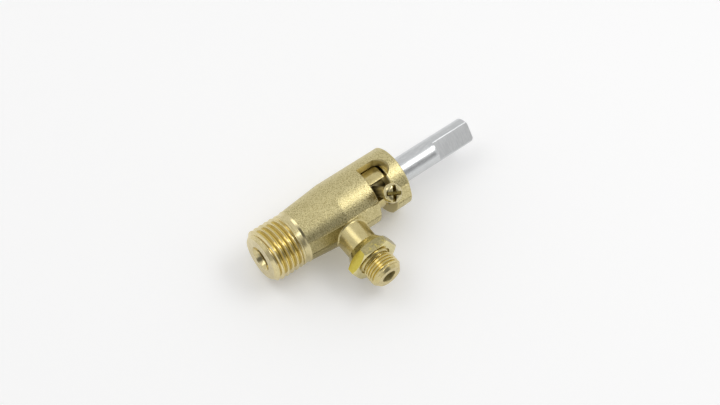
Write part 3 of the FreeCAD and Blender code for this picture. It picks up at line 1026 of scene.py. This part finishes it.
# %% Taper plug
PLUG_HEAD_R = 5.12
PLUG_FRONT = 34.55
PLUG_EDGE = 0.2
plug = turned("taper_plug_dressed", [
    (12.6, 0), (12.6, 3.52), (SEAT_END, 4.895), (26.9, 4.9), (27.0, PLUG_HEAD_R),
    (PLUG_FRONT - PLUG_EDGE, PLUG_HEAD_R), (PLUG_FRONT, PLUG_HEAD_R - PLUG_EDGE),
    (PLUG_FRONT, 0)], step=0.6)
finish(plug, plug_brass)
for name, start, end, r in (("gas_bore", 12, 23.2, 2.2), ("pocket", 24.8, 36, 2.1)):
    borer = turned(name, [(start, 0), (start, r), (end, r), (end, 0)], spin=96)
    combine(plug, finish(borer, bore_brass), "DIFFERENCE")
port = place(turned("port", [(0, 0), (0, 1.6), (8, 1.6), (8, 0)], spin=96), on_outlet())
combine(plug, finish(port, bore_brass), "DIFFERENCE")
combine(plug, finish(block("slot", (27.6, -8, -2.25), (36, 8, 2.25)), plug_brass), "DIFFERENCE")
round_edges(plug, 0.08, angle=35, smooth=30)
place(plug, about_x(SCREW_ANGLE))
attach(plug, "plug")
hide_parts("taper_plug")
print("taper plug:", triangles(plug), "triangles")

# %% [markdown]
# ## Guide bush
# A brass ring, pressed into the head, guides the spindle and closes the gap round it. It is
# hardly seen, so the turned ring needs no bevels: its two chamfers are in the profile.

# %% Guide bush
bush = turned("guide_bush_dressed", [
    (35.1, 3.03), (35.1, 5.1), (35.3, 5.29), (37.2, 5.29), (37.2, 3.23), (37.0, 3.03)])
finish(bush, plug_brass)
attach(bush, "body")
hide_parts("guide_bush")
print("guide bush:", triangles(bush), "triangles")

# %% [markdown]
# ## Return spring
# A coil spring repeats one turn of wire. A Screw modifier could wind it, but a Geometry Nodes
# tree has wire, coil and number of turns as named inputs: a spiral curve carries a round wire
# section. One end rests in the plug and the other on the spindle.

# %% Coil tree
spring_wire = metal("spring_wire", (0.40, 0.41, 0.42), (0.55, 0.56, 0.57), (0.25, 0.35),
                    grain=0.20, bump=0.002)
spring_tree = new_tree("coil_spring", (
    ("Coil radius", 0.0015), ("Wire radius", 0.0002), ("Turns", 4.5), ("Height", 0.004)))
given = node(spring_tree, "NodeGroupInput").outputs
path = wire(spring_tree, "GeometryNodeCurveSpiral", {
    "Resolution": 48, "Rotations": given["Turns"], "Start Radius": given["Coil radius"],
    "End Radius": given["Coil radius"], "Height": given["Height"]})
section = wire(spring_tree, "GeometryNodeCurvePrimitiveCircle", {
    "Resolution": 16, "Radius": given["Wire radius"]})
sweep = wire(spring_tree, "GeometryNodeCurveToMesh", {
    "Curve": path.outputs[0], "Profile Curve": section.outputs[0], "Fill Caps": True})
end_tree(spring_tree, sweep.outputs[0], given["Material"])
print("coil tree:", len(spring_tree.nodes), "nodes")

# %% Return spring
spring = grow("return_spring_dressed", spring_tree, coil_radius=1.575 * MM,
              wire_radius=0.22 * MM, turns=4.5, height=4.2 * MM, material=spring_wire)
along_x = Matrix.Rotation(math.radians(90), 4, "Y")
place(spring, Matrix.Translation((25.05 * MM, 0, 0)) @ along_x)
finish_mesh(spring.data, 40)
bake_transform(spring)
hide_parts("return_spring")
print("return spring:", triangles(spring), "triangles")

# %% [markdown]
# ## Studio
# The photograph is a product shot on white. Two soft boxes hang above, one towards the spindle
# and one behind the inlet. The room is white, but darker where the camera stands, in front and
# low on the inlet side, and round metal shows that as dark streaks. A floor that glows fully
# would wipe out the shadow, so it glows a little, and only where it is seen or mirrored.

# %% Floor
FLOOR_Z = cad_low.z
FLOOR_HALF = 3
PAPER_GLOW = 0.15
floor_mesh = bpy.data.meshes.new("floor")
floor_mesh.from_pydata([(x * FLOOR_HALF, y * FLOOR_HALF, FLOOR_Z)
                        for x, y in ((-1, -1), (1, -1), (1, 1), (-1, 1))], [], [(0, 1, 2, 3)])
floor = add_object("floor", floor_mesh)
paper = bpy.data.materials.new("white_paper")
paper.use_nodes = True
sheet = paper.node_tree
paper_shader = sheet.nodes["Principled BSDF"]
paper_shader.inputs["Base Color"].default_value = (0.93, 0.93, 0.93, 1)
paper_shader.inputs["Roughness"].default_value = 0.9
paper_shader.inputs["Emission Color"].default_value = (1, 1, 1, 1)
rays = node(sheet, "ShaderNodeLightPath").outputs
mirrored = maths(sheet, "MAXIMUM", rays["Is Glossy Ray"], rays["Is Transmission Ray"])
glow = maths(sheet, "MULTIPLY", maths(sheet, "MAXIMUM", rays["Is Camera Ray"], mirrored), PAPER_GLOW)
sheet.links.new(glow, paper_shader.inputs["Emission Strength"])
finish(floor, paper)
print("floor at z =", round(FLOOR_Z / MM, 2), "mm")

# %% Room
ROOM_LIGHT = 0.80
DIM_PATCHES = (
    ((-0.42, -0.40, 0.81), 0.85, 0.98, 0.20),
    ((0.05, -0.90, 0.44), 0.85, 0.98, 0.30),
    ((-0.96, -0.24, 0.12), 0.90, 0.99, 0.60))
world = bpy.data.worlds.new("studio")
bpy.context.scene.world = world
world.use_nodes = True
sky = world.node_tree
sky.nodes["Background"].inputs["Strength"].default_value = ROOM_LIGHT
direction = node(sky, "ShaderNodeTexCoord").outputs["Generated"]


def dim_patch(towards, rim, middle, darkest):
    """1 outside a patch of the room in that direction, falling to darkest at its middle. rim
    and middle are the cosines of the angles where the fall starts and ends."""
    facing = node(sky, "ShaderNodeVectorMath", operation="DOT_PRODUCT")
    sky.links.new(direction, facing.inputs[0])
    facing.inputs[1].default_value = Vector(towards).normalized()
    fall = wire(sky, "ShaderNodeMapRange", {
        "Value": facing.outputs["Value"], "From Min": rim, "From Max": middle,
        "To Min": 1.0, "To Max": 0.0}, interpolation_type="SMOOTHSTEP")
    return wire(sky, "ShaderNodeMapRange", {
        "Value": fall.outputs[0], "To Min": darkest, "To Max": 1.0}).outputs[0]


tone = 1.0
for patch in DIM_PATCHES:
    tone = maths(sky, "MULTIPLY", tone, dim_patch(*patch))
shade = wire(sky, "ShaderNodeCombineColor", {"Red": tone, "Green": tone, "Blue": tone})
sky.links.new(shade.outputs[0], sky.nodes["Background"].inputs["Color"])
print("dim patches:", len(DIM_PATCHES))


# %% Soft boxes
def soft_lamp(name, spot_mm, target_mm, size, watts):
    """Area lamp of the given size in metres that looks from its spot at the target."""
    data = bpy.data.lights.new(name, "AREA")
    data.shape = "RECTANGLE"
    data.size, data.size_y = size
    data.energy = watts
    lamp = bpy.data.objects.new(name, data)
    bpy.context.scene.collection.objects.link(lamp)
    lamp.location = Vector(spot_mm) * MM
    aim = (Vector(target_mm) - Vector(spot_mm)).normalized()
    lamp.rotation_mode = "QUATERNION"
    lamp.rotation_quaternion = aim.to_track_quat("-Z", "Y")


LAMP_TARGET = (30, 0, 0)
soft_lamp("right_softbox", (252, -100, 380), LAMP_TARGET, (0.28, 0.14), 0.32)
soft_lamp("left_softbox", (-105, 202, 378), LAMP_TARGET, (0.18, 0.26), 0.16)
bpy.context.scene.view_settings.view_transform = "Standard"
print("soft boxes:", len(bpy.data.lights))
